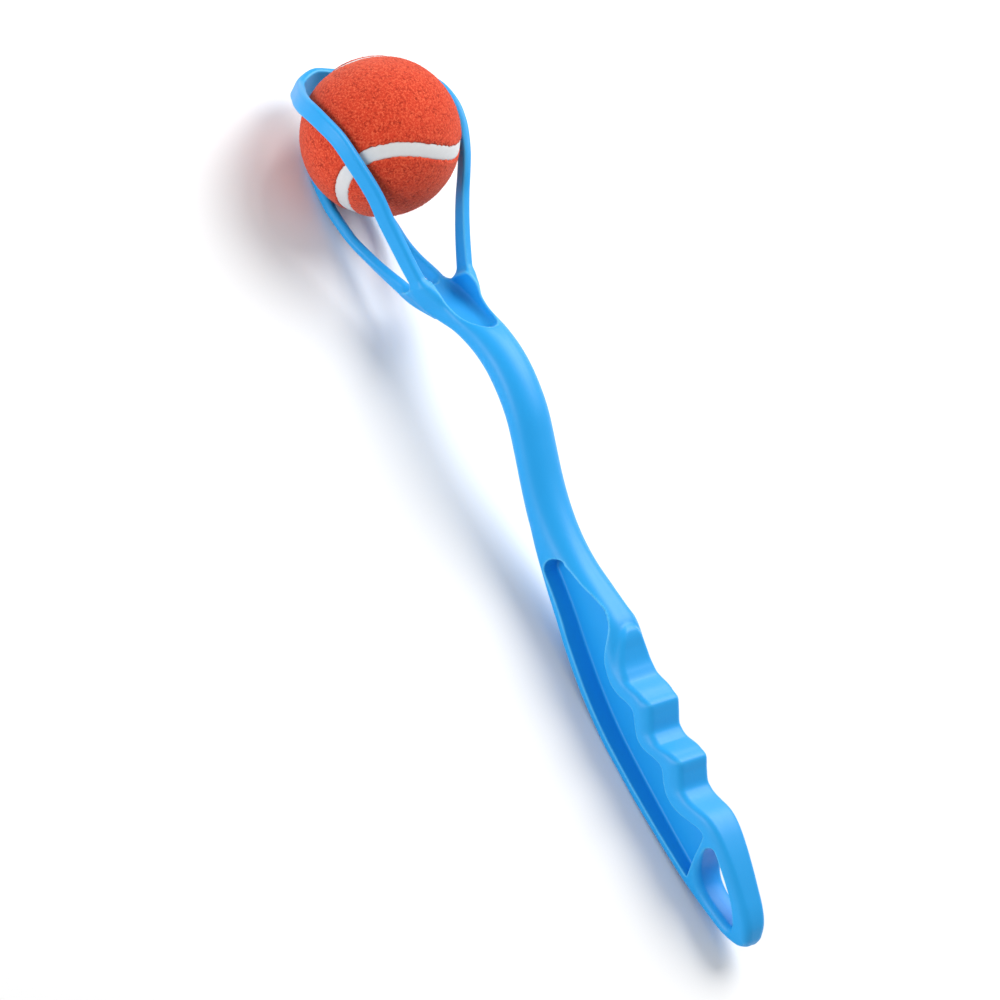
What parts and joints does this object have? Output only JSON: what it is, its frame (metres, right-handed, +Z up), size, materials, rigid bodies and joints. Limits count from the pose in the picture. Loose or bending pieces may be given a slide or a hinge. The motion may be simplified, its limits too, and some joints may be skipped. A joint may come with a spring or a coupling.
{
  "type": "tennis ball launcher",
  "caption": "One-piece moulded plastic ball thrower with an open ring cup, curved neck, finger-grooved grip and hanging hole, holding a felt ball.",
  "frame": {"origin": "on the ground plane below the middle of the launcher's length, with the launcher lying on its cup's lower loop and the back of its grip", "axes": "+X from the ball towards the grip's tail, +Y across the launcher, +Z up, the side that the finger grooves and the cup's mouth face"},
  "size_m": [0.3988, 0.0744, 0.0682],
  "materials": {
    "launcher_plastic": "satin sky blue",
    "ball_felt": "napped orange-red felt",
    "ball_seam": "matt off-white",
    "ball_rubber": "matt dark grey"
  },
  "bodies": {
    "launcher": {"launcher_moulding": "launcher_plastic"},
    "ball": {"ball_core_half_a": "ball_rubber", "ball_core_half_b": "ball_rubber", "felt_panel_a": "ball_felt", "felt_panel_b": "ball_felt", "ball_seam": "ball_seam"}
  },
  "joints": [
    {"name": "ball_release", "type": "slide", "parent": "launcher", "child": "ball", "axis": [-0.5237, 0, 0.8519], "range_m": [0, 0.095]}
  ]
}
